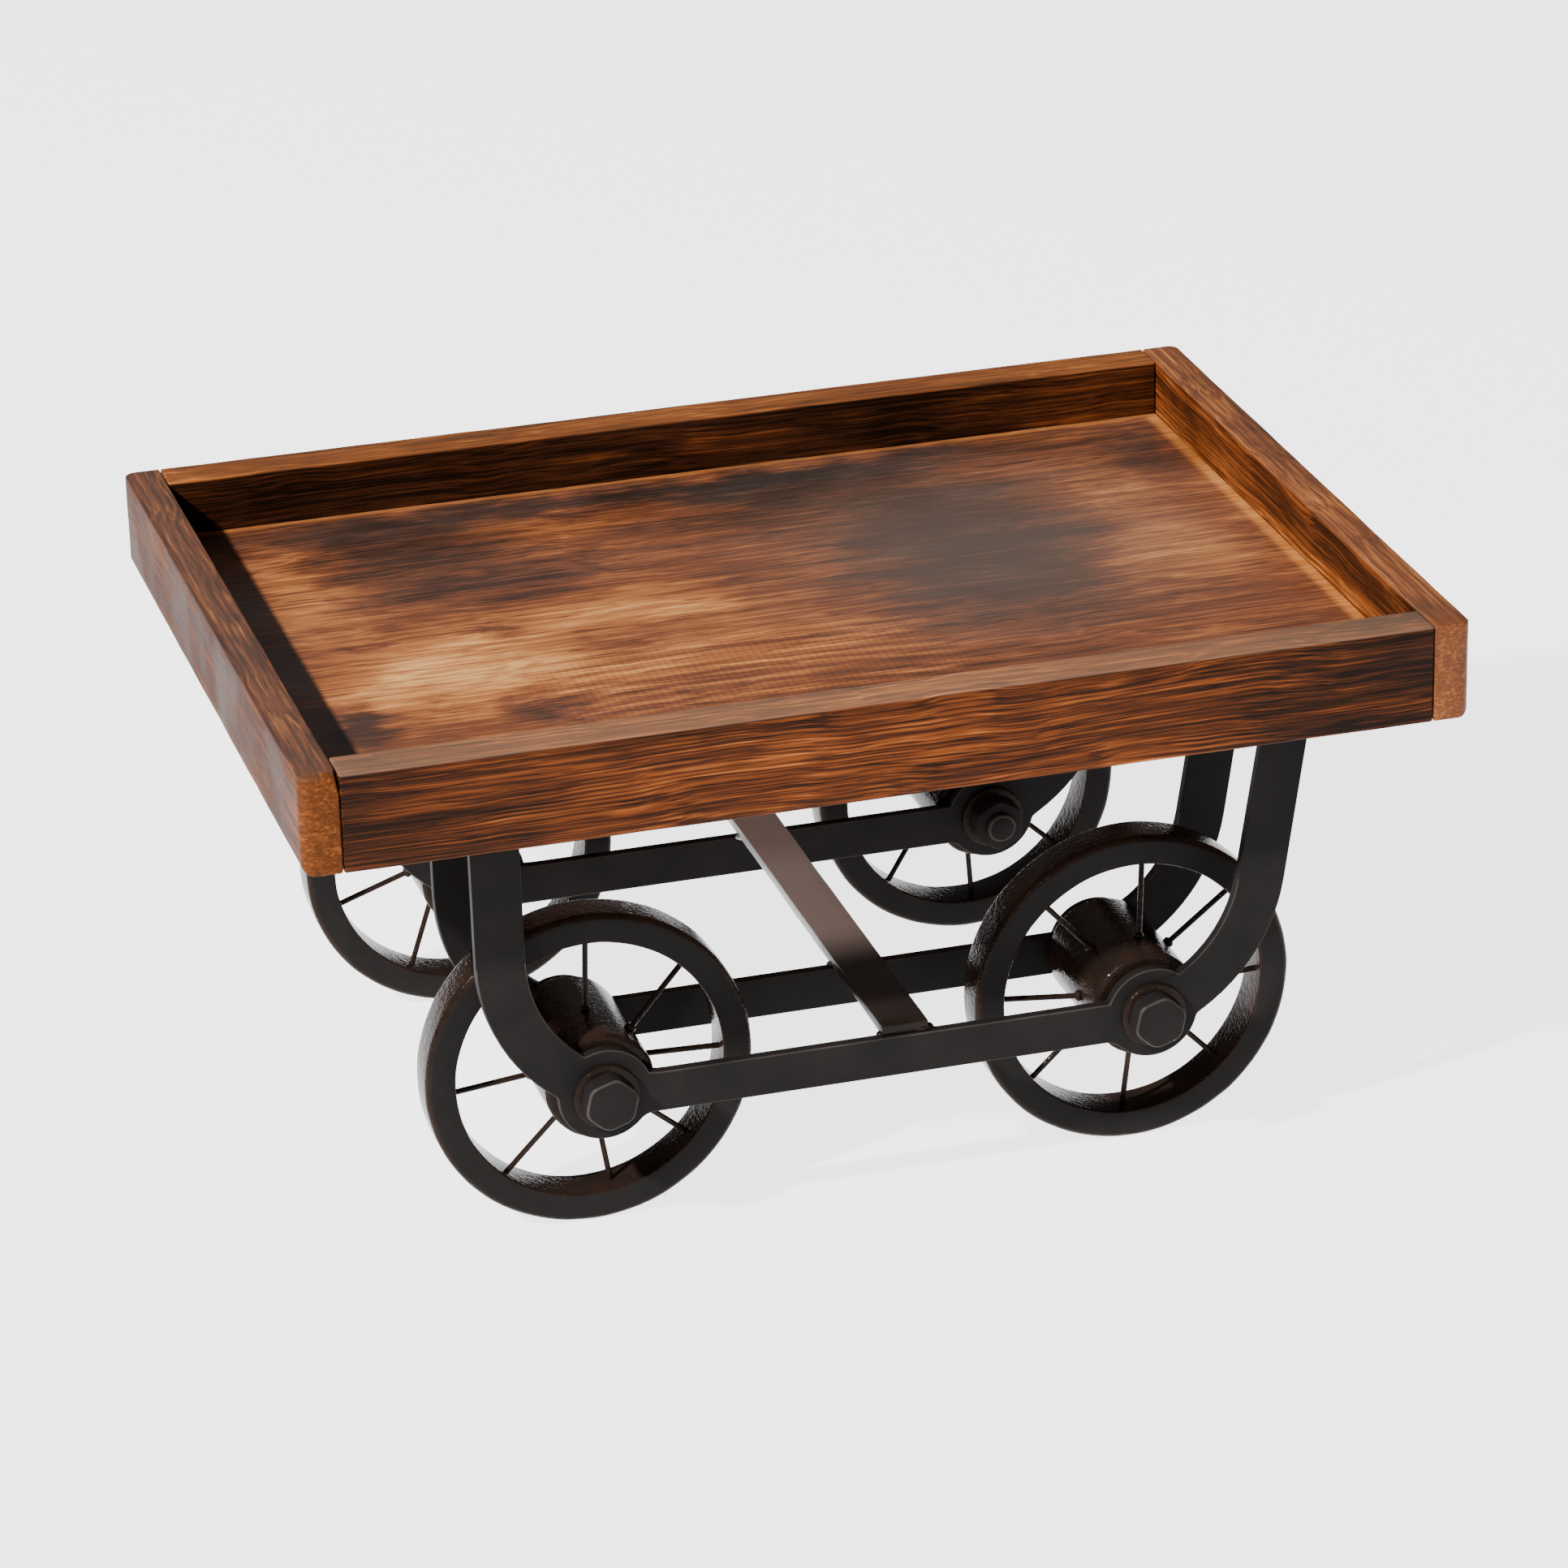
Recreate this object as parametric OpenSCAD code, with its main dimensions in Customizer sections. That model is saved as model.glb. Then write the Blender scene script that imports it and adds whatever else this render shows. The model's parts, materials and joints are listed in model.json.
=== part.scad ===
// Table-top serving tray in the shape of a street vendor's hand cart: a wooden tray with low
// walls on an undercarriage of flat iron straps, with four spoked wheels that turn.
// X runs along the tray, -Y is the front, +Z is up. The origin is on the ground, under the middle.

/* [Tray] */
// Length of the tray
tray_l = 300; // [250:1:420]
// Width of the tray
tray_w = 220; // [180:1:320]
// Height of the tray's top edge above the ground
tray_top = 148; // [135:1:190]
// Height of the boards round the tray
wall_h = 26; // [20:0.5:36]
// Thickness of the two end boards
end_t = 10; // [8:0.5:14]
// Thickness of the front and back boards
side_t = 12; // [8:0.5:15]
// Thickness of the floor panel
floor_t = 11; // [9:0.5:14]
// Rounding of the tray's four upright corners
corner_r = 3; // [1:0.5:6]

/* [Straps] */
// Distance from the tray's long side to the outer strap
strap_inset = 20; // [15:0.5:26]
// Thickness of the flat iron
strap_t = 3; // [2:0.25:4]
// Width of a leg
leg_w = 12.6; // [11:0.1:16]
// Height of the bottom bar
bar_h = 10.8; // [8:0.1:11]
// How far the middle of the bottom bar lies below the axles
bar_drop = 1.4; // [0:0.1:2]
// Radius of the large bend, on the middle line of the leg
bend_r = 42; // [36:0.5:48]
// Outward lean of the left legs, in degrees
left_lean = 0.5; // [0:0.5:10]
// Outward lean of the right legs, in degrees
right_lean = 9; // [0:0.5:12]
// Distance from the left axle inwards to the end of its bend
left_bend_in = 16.5; // [8:0.5:20]
// Distance from the right axle inwards to the end of its bend
right_bend_in = 10.5; // [8:0.5:20]
// Radius of the round eye at each axle
eye_r = 12.2; // [10.5:0.1:12.8]
// Length of the tab that holds a leg to the tray
tab_l = 20; // [16:0.5:22]
// Inner radius of the bend between leg and tab
tab_bend = 1.5; // [1:0.25:3]
// Width of the flat bar across the undercarriage
cross_w = 12.5; // [9:0.5:18]
// Distance of the flat bar across from the middle of the cart
cross_x = 6.5; // [-20:0.5:20]
// How far the ends of the flat bar across stop short of the outer straps' faces
cross_short = 1; // [0:0.25:2]

/* [Wheels] */
// Radius of the wheels
wheel_r = 42.8; // [35:0.1:54]
// Distance from the tray's end to the axle
axle_inset = 77.5; // [70:0.5:90]
// Width of the rim
rim_w = 12; // [9:0.5:16]
// Thickness of the rim, from its tread to its inner edge
rim_t = 8; // [6:0.25:10]
// Depth of the channel round the inside of the rim
channel_d = 1.8; // [1:0.1:2.5]
// Bevel on the edges of the rim
rim_edge = 1; // [0.5:0.1:1.5]
// Depth of the two grooves in the tread
groove_d = 0.8; // [0.4:0.1:1.4]
// How far the rim stands outwards from the middle of its hub
rim_out = 2.8; // [0:0.2:5]
// Clear distance between the straps on the two sides of a wheel
fork_gap = 41.2; // [34:0.1:50]
// Radius of the hub
hub_r = 14.5; // [12:0.1:17]
// Wall of the hub's tube
hub_wall = 2; // [1.5:0.25:3]
// Thickness of the discs that close the hub's tube
hub_disc = 4; // [3:0.5:6]
// Bevel on the ends of the hub
hub_edge = 1; // [0.5:0.1:2]
// Thickness of the spokes
spoke_d = 1.5; // [1:0.1:2.4]
// Number of spokes in a wheel
spoke_count = 8; // [6:1:12]
// How far the inner end of every other spoke stands outwards from the plane of the rim
spoke_cone = 5; // [0:0.5:8]

/* [Fasteners] */
// Thickness of the axle bolts
bolt_d = 8; // [6:0.5:10]
// Width of the bolt heads and nuts across their flats
head_af = 13; // [11:0.5:15]
// Height of the bolt heads
head_h = 5.4; // [4:0.1:7]
// How far the bolt heads are turned, in degrees
head_turn = 12; // [0:1:60]
// Height of the nuts
nut_h = 6.5; // [5:0.1:8]
// Length of bolt that stands out of the nut
bolt_end = 2; // [1:0.5:5]
// Width of the washers
washer_d = 17; // [16:0.5:20]
// Thickness of the washers under head and nut
washer_t = 1.6; // [1:0.1:2]
// Thickness of the thin washers beside the hub
shim_t = 1; // [0.5:0.1:1.5]
// Clearance of the bolts in straps and washers, on the radius
bolt_fit = 0.15; // [0.1:0.05:0.3]
// Clearance between a hub's bore and its bolt, on the radius
run_fit = 0.06; // [0.03:0.01:0.1]
// Clearance between a hub's end and the thin washer beside it
end_gap = 0.5; // [0.3:0.1:1]
// Thickness of the screws that hold the legs
screw_d = 4; // [3:0.25:5]
// Width of the screw heads
screw_head_d = 8; // [7:0.25:10]
// Height of the screw heads
screw_head_h = 2.4; // [2:0.1:3]
// Depth of the screws in the floor panel
screw_in = 7.5; // [5:0.5:8.5]
// Distance from the head of a screw to the end of its tab
screw_margin = 2; // [1:0.5:4]
// Clearance of the screws in their tabs, on the radius
screw_fit = 0.2; // [0.1:0.05:0.4]
// Thickness of the brads in the tray
brad_d = 1.4; // [1:0.1:2]
// Depth of the brads beyond the board that they go through
brad_in = 14; // [10:0.5:20]

/* [Hidden] */
$fn = 64;
// Facets of the large rounds
fine = 128;
// How far cuts run past what they cut, and how far joined shapes overlap
over = 1;
// Places of the brads, as shares of the wall's height and of the tray's length and width
CORNER_BRAD_Z = [0.28, 0.76];
FLOOR_BRAD_X = [-0.4, -0.13, 0.13, 0.4];
FLOOR_BRAD_Y = [-0.27, 0, 0.27];
tray_z = tray_top - wall_h;
side_l = tray_l - 2 * end_t;
floor_w = tray_w - 2 * side_t;
axle_x = tray_l / 2 - axle_inset;
axle_z = wheel_r;
// Outer faces of the outer and inner straps, and the middle of a hub, as distances from the middle
outer_y = tray_w / 2 - strap_inset;
inner_y = outer_y - strap_t - fork_gap;
hub_y = outer_y - strap_t - fork_gap / 2;
bar_z = axle_z - bar_drop - bar_h / 2;
bar_top = bar_z + bar_h;
bend_in_edge = bend_r - leg_w / 2;
bend_z = bar_top + bend_in_edge;
leg_top = tray_z - strap_t - tab_bend;
bolt_r = bolt_d / 2;
bolt_hole_r = bolt_r + bolt_fit;
rim_in_r = wheel_r - rim_t;
channel_r = rim_in_r + channel_d;
hub_half = fork_gap / 2 - shim_t - end_gap;
shank_l = 2 * washer_t + 2 * strap_t + fork_gap + nut_h + bolt_end;
screw_r = screw_d / 2;
tab_screw = tab_l - screw_head_d / 2 - screw_margin;
brad_r = brad_d / 2;
// Longer than anything that it cuts
long = tray_l + tray_w;
WOOD = "#6b4020";
FLOOR_WOOD = "#a06a38";
IRON = "#262321";
BRIGHT_IRON = "#2e2826";
SIDES = ["left", "right"];
ROWS = ["front", "rear"];
// Each frame's name, its row and the distance of its outer face from the middle
FRAMES = [
    ["front_outer", "front", outer_y], ["front_inner", "front", inner_y],
    ["rear_inner", "rear", inner_y], ["rear_outer", "rear", outer_y],
];
// The wires are set by hand, so each stands a few degrees off its even place.
FRONT_LEFT_OFF = [-2, -3, -2, 2, 6, 7, 9, 2];
FRONT_RIGHT_OFF = [-3, -7, -7, -3, 0, -2, -2, -1];
REAR_LEFT_OFF = [18, 20, 17, 18, 19, 22, 20, 18];
REAR_RIGHT_OFF = [0, 3, -2, 1, -3, 7, 4, 4];
// Each wheel's name, its side, its row, how far its spokes stand off their even places and
// the first of the spokes that are coned
WHEELS = [
    ["front_left", "left", "front", FRONT_LEFT_OFF, 1],
    ["front_right", "right", "front", FRONT_RIGHT_OFF, 0],
    ["rear_left", "left", "rear", REAR_LEFT_OFF, 1],
    ["rear_right", "right", "rear", REAR_RIGHT_OFF, 1],
];
TRAY_NODES = [
    "front_board", "back_board", "left_end_board", "right_end_board", "floor_panel",
    "corner_brads", "floor_brads", "leg_screws",
];
FRAME_NODES = [for (f = FRAMES, end = ["left_leg", "right_leg", "bar"]) str(f[0], "_", end)];
WHEEL_NODES = [
    for (w = WHEELS, end = ["rim", "spokes", "hub", "axle_bolt", "washers", "nut"]) str(w[0], "_", end)
];

function lean(side) = side == "left" ? left_lean : right_lean;
function bend_x(side) = axle_x - (side == "left" ? left_bend_in : right_bend_in);
// Distance of a leg's middle line from the middle of the cart, at the top of the leg
function leg_x(side) =
    bend_x(side) + bend_r / cos(lean(side)) + (leg_top - bend_z) * tan(lean(side));

// ---- placing ----

// Everything is drawn for the front, and mirrored for the rear.
module in_row(row) {
    if (row == "rear") mirror([0, 1, 0]) children();
    else children();
}

// Everything is drawn for the right, and mirrored for the left.
module on_side(side) {
    if (side == "left") mirror([1, 0, 0]) children();
    else children();
}

// Stands a drawing up in the XZ plane, with its thickness going from y inwards.
module upright(y, thickness) {
    translate([0, thickness - y, 0]) rotate([90, 0, 0]) linear_extrude(thickness) children();
}

// Puts the Z axis of its children along a wheel's axle, outwards, with 0 at the middle of the hub.
module at_wheel(w) {
    in_row(w[2])
        translate([w[1] == "left" ? -axle_x : axle_x, -hub_y, axle_z]) rotate([90, 0, 0]) children();
}

module ring(outer, inner, height) {
    difference() {
        cylinder(r = outer, h = height);
        translate([0, 0, -over]) cylinder(r = inner, h = height + 2 * over);
    }
}

// ---- tray ----

module corner_brad_set() {
    for (sx = [-1, 1], sy = [-1, 1], z = CORNER_BRAD_Z)
        translate([sx * tray_l / 2, sy * (tray_w - side_t) / 2, tray_z + z * wall_h])
            rotate([0, -sx * 90, 0]) cylinder(r = brad_r, h = end_t + brad_in);
}

module floor_brad_set() {
    for (sy = [-1, 1], x = FLOOR_BRAD_X)
        translate([x * tray_l, sy * tray_w / 2, tray_z + floor_t / 2])
            rotate([sy * 90, 0, 0]) cylinder(r = brad_r, h = side_t + brad_in);
    for (sx = [-1, 1], y = FLOOR_BRAD_Y)
        translate([sx * tray_l / 2, y * tray_w, tray_z + floor_t / 2])
            rotate([0, -sx * 90, 0]) cylinder(r = brad_r, h = end_t + brad_in);
}

// The places of the leg screws, seen from above
module at_screws() {
    for (side = SIDES, row = ROWS, y = [outer_y, inner_y])
        in_row(row) on_side(side) translate([leg_x(side), -y + strap_t + tab_screw, 0]) children();
}

module side_board(row) {
    color(WOOD) difference() {
        in_row(row) translate([-side_l / 2, -tray_w / 2, tray_z]) cube([side_l, side_t, wall_h]);
        corner_brad_set();
        floor_brad_set();
    }
}

module end_board(side) {
    color(WOOD) difference() {
        on_side(side) translate([0, 0, tray_z]) linear_extrude(wall_h) {
            translate([side_l / 2, -tray_w / 2 + corner_r]) square([end_t, tray_w - 2 * corner_r]);
            translate([side_l / 2, -tray_w / 2]) square([end_t - corner_r, tray_w]);
            for (s = [-1, 1])
                translate([tray_l / 2 - corner_r, s * (tray_w / 2 - corner_r)]) circle(r = corner_r);
        }
        corner_brad_set();
        floor_brad_set();
    }
}

module floor_panel() {
    color(FLOOR_WOOD) difference() {
        translate([-side_l / 2, -floor_w / 2, tray_z]) cube([side_l, floor_w, floor_t]);
        floor_brad_set();
        at_screws() translate([0, 0, tray_z - over]) cylinder(r = screw_r, h = screw_in + over);
    }
}

module corner_brads() { color(IRON) corner_brad_set(); }

module floor_brads() { color(IRON) floor_brad_set(); }

module leg_screws() {
    color(IRON) at_screws() {
        translate([0, 0, tray_z - strap_t - screw_head_h])
            cylinder(r = screw_head_d / 2, h = screw_head_h);
        translate([0, 0, tray_z - strap_t - over]) cylinder(r = screw_r, h = strap_t + screw_in + over);
    }
}

// ---- undercarriage ----

// The strap of a leg: a straight length, then the large bend down to the bottom bar
module strap_outline(side) {
    difference() {
        translate([bend_x(side), bend_z]) rotate(-lean(side)) {
            translate([bend_in_edge, 0]) square([leg_w, tray_top]);
            difference() {
                circle(r = bend_r + leg_w / 2, $fn = fine);
                circle(r = bend_in_edge, $fn = fine);
                translate([-long, 0]) square([2 * long, long]);
            }
        }
        translate([0, leg_top]) square([long, long]);
        translate([bend_x(side) - long, -long]) square([long, 2 * long]);
        translate([0, -long]) square([axle_x, long + bar_z]);
    }
}

// The tab that is bent inwards at the top of a leg and screwed under the tray
module leg_tab(side, y) {
    width = leg_w / cos(lean(side));
    translate([leg_x(side), -y + strap_t, 0]) difference() {
        union() {
            translate([-width / 2, tab_bend, leg_top]) rotate([90, 0, 90]) rotate([0, 0, 90])
                rotate_extrude(angle = 90) translate([tab_bend, 0]) square([strap_t, width]);
            translate([-width / 2, tab_bend, tray_z - strap_t])
                cube([width, tab_l - tab_bend, strap_t]);
        }
        translate([0, tab_screw, tray_z - strap_t - over])
            cylinder(r = screw_r + screw_fit, h = strap_t + 2 * over);
    }
}

module leg(f, side) {
    color(IRON) in_row(f[1]) on_side(side) {
        upright(f[2], strap_t) difference() {
            union() {
                strap_outline(side);
                translate([axle_x, axle_z]) circle(r = eye_r);
            }
            translate([axle_x, axle_z]) circle(r = bolt_hole_r);
        }
        leg_tab(side, f[2]);
    }
}

module bar(f) {
    color(IRON) in_row(f[1]) difference() {
        translate([-bend_x("left"), -f[2], bar_z])
            cube([bend_x("left") + bend_x("right"), strap_t, bar_h]);
        for (s = [-1, 1]) upright(f[2] + over, strap_t + 2 * over)
            translate([s * axle_x, axle_z]) circle(r = eye_r);
    }
}

module cross_bar() {
    reach = outer_y - cross_short;
    color(BRIGHT_IRON) translate([cross_x - cross_w / 2, -reach, bar_top])
        cube([cross_w, 2 * reach, strap_t]);
}

// ---- wheels ----

module rim(w) {
    half = rim_w / 2;
    rib = rim_w / 6;
    color(BRIGHT_IRON) at_wheel(w) translate([0, 0, rim_out]) rotate_extrude($fn = fine) polygon([
        [rim_in_r, -half], [wheel_r - rim_edge, -half], [wheel_r, -half + rim_edge],
        [wheel_r, -1.5 * rib], [wheel_r - groove_d, -1.25 * rib], [wheel_r - groove_d, -0.75 * rib],
        [wheel_r, -0.5 * rib], [wheel_r, 0.5 * rib],
        [wheel_r - groove_d, 0.75 * rib], [wheel_r - groove_d, 1.25 * rib], [wheel_r, 1.5 * rib],
        [wheel_r, half - rim_edge], [wheel_r - rim_edge, half], [rim_in_r, half],
        [rim_in_r, half - rim_edge], [channel_r, half / 2], [channel_r, -half / 2],
        [rim_in_r, rim_edge - half],
    ]);
}

// The spokes run from the hub to the middle of the rim, and every other one is coned.
module spokes(w) {
    spoke_over = 3 * over;
    color(BRIGHT_IRON) at_wheel(w) difference() {
        intersection() {
            for (k = [0 : spoke_count - 1]) {
                in_z = rim_out + (k % 2 == w[4] ? spoke_cone : 0);
                off = w[3][k % len(w[3])];
                run = channel_r - hub_r;
                slope = atan2(rim_out - in_z, run);
                rotate([0, 0, off + k * 360 / spoke_count]) translate([hub_r, 0, in_z])
                    rotate([0, 90 - slope, 0]) translate([0, 0, -spoke_over])
                        cylinder(r = spoke_d / 2, h = run / cos(slope) + 2 * spoke_over, $fn = 24);
            }
            cylinder(r = channel_r, h = fork_gap, center = true, $fn = fine);
        }
        cylinder(r = hub_r, h = fork_gap + 2 * over, center = true);
    }
}

// A length of tube, closed by a bored disc at each end
module hub(w) {
    bore = bolt_r + run_fit;
    tube = hub_r - hub_wall;
    well = hub_half - hub_disc;
    color(BRIGHT_IRON) at_wheel(w) rotate_extrude() polygon([
        [bore, -hub_half], [hub_r - hub_edge, -hub_half], [hub_r, hub_edge - hub_half],
        [hub_r, hub_half - hub_edge], [hub_r - hub_edge, hub_half], [bore, hub_half],
        [bore, well], [tube, well], [tube, -well], [bore, -well],
    ]);
}

module axle_bolt(w) {
    color(IRON) at_wheel(w) translate([0, 0, fork_gap / 2 + strap_t + washer_t]) {
        rotate([0, 0, head_turn]) cylinder(r = head_af / 2 / cos(30), h = head_h, $fn = 6);
        translate([0, 0, -shank_l]) cylinder(r = bolt_r, h = shank_l + over);
    }
}

module washers(w) {
    out = fork_gap / 2 + strap_t;
    color(IRON) at_wheel(w) {
        for (z = [out, -out - washer_t]) translate([0, 0, z]) ring(washer_d / 2, bolt_hole_r, washer_t);
        for (z = [fork_gap / 2 - shim_t, -fork_gap / 2])
            translate([0, 0, z]) ring(washer_d / 2, bolt_hole_r, shim_t);
    }
}

module nut(w) {
    color(IRON) at_wheel(w) translate([0, 0, -fork_gap / 2 - strap_t - washer_t - nut_h]) difference() {
        cylinder(r = head_af / 2 / cos(30), h = nut_h, $fn = 6);
        translate([0, 0, -over]) cylinder(r = bolt_r, h = nut_h + 2 * over);
    }
}

side_board("front");  // front_board
side_board("rear");  // back_board
end_board("left");  // left_end_board
end_board("right");  // right_end_board
floor_panel();
corner_brads();
floor_brads();
leg_screws();
cross_bar();
for (f = FRAMES) {
    leg(f, "left");
    leg(f, "right");
    bar(f);
}
for (w = WHEELS) {
    rim(w);
    spokes(w);
    hub(w);
    axle_bolt(w);
    washers(w);
    nut(w);
}
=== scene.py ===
"""A serving tray in the shape of a vendor's hand cart: torched, lacquered wood with low walls, on an
undercarriage of flat iron straps and four wire-spoked wheels under black enamel."""

import json
import math

import bmesh
import bpy
from mathutils import Matrix, Vector


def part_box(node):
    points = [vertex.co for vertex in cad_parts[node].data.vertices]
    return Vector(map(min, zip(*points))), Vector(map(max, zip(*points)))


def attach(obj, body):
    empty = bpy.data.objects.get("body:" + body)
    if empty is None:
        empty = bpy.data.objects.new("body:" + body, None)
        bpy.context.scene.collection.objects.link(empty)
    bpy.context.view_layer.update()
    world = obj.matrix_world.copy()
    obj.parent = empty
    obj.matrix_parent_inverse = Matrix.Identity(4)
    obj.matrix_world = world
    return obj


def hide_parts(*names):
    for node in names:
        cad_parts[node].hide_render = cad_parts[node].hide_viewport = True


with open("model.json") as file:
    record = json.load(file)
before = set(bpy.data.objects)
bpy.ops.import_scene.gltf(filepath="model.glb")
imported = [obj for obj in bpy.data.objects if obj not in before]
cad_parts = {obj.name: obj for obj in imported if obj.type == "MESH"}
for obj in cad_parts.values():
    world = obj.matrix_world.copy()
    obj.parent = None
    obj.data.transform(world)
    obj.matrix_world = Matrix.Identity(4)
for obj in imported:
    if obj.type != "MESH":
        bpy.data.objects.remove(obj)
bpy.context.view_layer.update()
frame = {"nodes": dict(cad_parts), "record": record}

MM = 0.001
AXLES = {j["child"]: Vector(j["pos_m"]) for j in frame["record"]["behaviour"]["joints"]}
X_AXIS, Y_AXIS, Z_AXIS = Vector((1, 0, 0)), Vector((0, 1, 0)), Vector((0, 0, 1))

# ---- sizes of the ironwork, in metres ----

STRAP_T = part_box("front_outer_bar")[1].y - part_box("front_outer_bar")[0].y
LEG_W = 12.6 * MM
BEND_R = 42 * MM
LEANS = {"left": math.radians(0.5), "right": math.radians(9)}
EYE_R = 12.2 * MM
TAB_L = 20 * MM
TAB_BEND = 1.5 * MM
BOLT_R = 4 * MM
BOLT_FIT = 0.15 * MM
HEAD_AF = 13 * MM
HEX_R = HEAD_AF / 2 / math.cos(math.pi / 6)
HEAD_TURN = math.radians(12)
WASHER_R = 8.5 * MM
SPOKE_R = 0.75 * MM
SCREW_HEAD_R = 4 * MM

# ---- camera ----

CAMERA_AZIMUTH = math.radians(-15.848)
CAMERA_ELEVATION = math.radians(23.535)
CAMERA_ROLL = math.radians(-1.416)
CAMERA_DISTANCE = 1.6784
CAMERA_AIM = (-0.5 * MM, 73.5 * MM)
CAMERA_LENS = 143.35


def make_camera():
    """The camera stands CAMERA_DISTANCE off, and is moved sideways and up in its own plane."""
    az, el, roll = CAMERA_AZIMUTH, CAMERA_ELEVATION, CAMERA_ROLL
    level = Vector((math.cos(az), math.sin(az), 0))
    back = Vector((math.sin(az) * math.cos(el), -math.cos(az) * math.cos(el), math.sin(el)))
    up = back.cross(level)
    right = math.cos(roll) * level + math.sin(roll) * up
    up = back.cross(right)
    data = bpy.data.cameras.new("camera")
    data.lens, data.sensor_width = CAMERA_LENS, 36
    data.clip_start, data.clip_end = 0.01, 50
    camera = bpy.data.objects.new("camera", data)
    bpy.context.scene.collection.objects.link(camera)
    turn = Matrix((right, up, back)).transposed().to_4x4()
    place = right * CAMERA_AIM[0] + up * CAMERA_AIM[1] + back * CAMERA_DISTANCE
    camera.matrix_world = Matrix.Translation(place) @ turn
    bpy.context.scene.camera = camera


# ---- materials ----


def linear(text):
    """An sRGB colour such as "#a07040" as linear red, green, blue and alpha."""
    parts = [int(text[i : i + 2], 16) / 255 for i in (1, 3, 5)]
    return [c / 12.92 if c <= 0.04045 else ((c + 0.055) / 1.055) ** 2.4 for c in parts] + [1]


def add(tree, kind, links, **settings):
    """Adds a shader node. links gives each input a value, or the output that feeds it."""
    made = tree.nodes.new("ShaderNode" + kind)
    for name, value in settings.items():
        setattr(made, name, value)
    for key, value in links.items():
        if isinstance(value, bpy.types.NodeSocket):
            tree.links.new(value, made.inputs[key])
        else:
            made.inputs[key].default_value = value
    return made


def new_material(name):
    material = bpy.data.materials.new(name)
    material.use_nodes = True
    tree = material.node_tree
    return material, tree, tree.nodes["Principled BSDF"]


def maths(tree, operation, a, b=0.0, clamp=False):
    return add(tree, "Math", {0: a, 1: b}, operation=operation, use_clamp=clamp).outputs[0]


def centred(tree, value, amount):
    """Turns a value round 0.5 into a change of tone or place round 0."""
    return maths(tree, "MULTIPLY", maths(tree, "SUBTRACT", value, 0.5), amount)


def stretched_noise(tree, coords, size, detail=4, roughness=0.55, distortion=0.0):
    """Noise whose features measure size = (x, y, z), in metres."""
    scaled = add(tree, "Mapping", {"Vector": coords, "Scale": [1 / s for s in size]}).outputs[0]
    links = {"Vector": scaled, "Scale": 1, "Detail": detail, "Roughness": roughness}
    links["Distortion"] = distortion
    return add(tree, "TexNoise", links).outputs["Fac"]


def band(tree, value, start, end, low=0.0, high=1.0):
    """Goes smoothly from low, where value is start, to high, where it is end."""
    links = {"Value": value, "From Min": start, "From Max": end, "To Min": low, "To Max": high}
    return add(tree, "MapRange", links, interpolation_type="SMOOTHSTEP").outputs[0]


def ramp(tree, value, stops):
    """A colour ramp: stops are (place, hex colour)."""
    made = add(tree, "ValToRGB", {"Fac": value})
    elements = made.color_ramp.elements
    while len(elements) < len(stops):
        elements.new(0.5)
    for element, (place, colour) in zip(elements, stops):
        element.position, element.color = place, linear(colour)
    return made.outputs[0]


def mixed(tree, share, a, b):
    """Colour a, with share of colour b over it."""
    return add(tree, "MixRGB", {"Fac": share, "Color1": a, "Color2": b}).outputs[0]


TRAY_LOW, TRAY_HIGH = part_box("front_board")[0].z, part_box("front_board")[1].z
FLOOR_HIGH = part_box("floor_panel")[1]

# Lighter and darker places that the torch left on the floor: x, y, half length and half width in
# millimetres, and how much lighter (above 0) or darker (below 0).
FLOOR_PATCHES = [
    (-115, 45, 16, 34, 0.22), (-92, -22, 36, 26, 0.34), (-38, 6, 46, 15, 0.24),
    (-25, -30, 50, 16, 0.16), (106, -2, 26, 26, 0.2), (112, 42, 20, 18, 0.14),
    (-42, 68, 22, 8, 0.14), (-10, -68, 60, 12, 0.1),
    (-20, 86, 120, 8, -0.34), (28, 80, 34, 14, -0.3), (-86, 68, 28, 18, -0.24),
    (-72, 42, 40, 18, -0.16), (62, 12, 32, 52, -0.34), (20, 50, 50, 26, -0.12),
    (-122, -48, 9, 16, -0.34), (-76, -50, 10, 14, -0.26), (-74, 2, 8, 6, -0.2),
    (70, -62, 70, 14, -0.03), (126, 66, 10, 26, -0.2), (-62, 36, 40, 5, -0.12),
]


def distance_from(tree, coords, centre, size):
    """How far a point is from centre, where 1 is the border of an oval with half lengths size."""
    shifted = add(tree, "VectorMath", {0: coords, 1: centre}, operation="SUBTRACT").outputs[0]
    scaled = add(tree, "VectorMath", {0: shifted, 1: size}, operation="DIVIDE").outputs[0]
    return add(tree, "VectorMath", {0: scaled}, operation="LENGTH").outputs["Value"]


def patches(tree, coords):
    """The sum of FLOOR_PATCHES, each with a soft border."""
    total = 0.5
    for x, y, half_l, half_w, amount in FLOOR_PATCHES:
        size = (half_l * MM, half_w * MM, 1)
        away = distance_from(tree, coords, (x * MM, y * MM, 0), size)
        total = maths(tree, "ADD", total, band(tree, away, 0.25, 1.5, amount, 0))
    return total


# Torched wood from charred, through brown, to the bare tan of the wood.
TORCHED_STOPS = [
    (0.0, "#100602"), (0.25, "#321607"), (0.5, "#633112"), (0.72, "#965928"), (1.0, "#ce9858"),
]
WOOD_SWAY = 7 * MM


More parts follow.
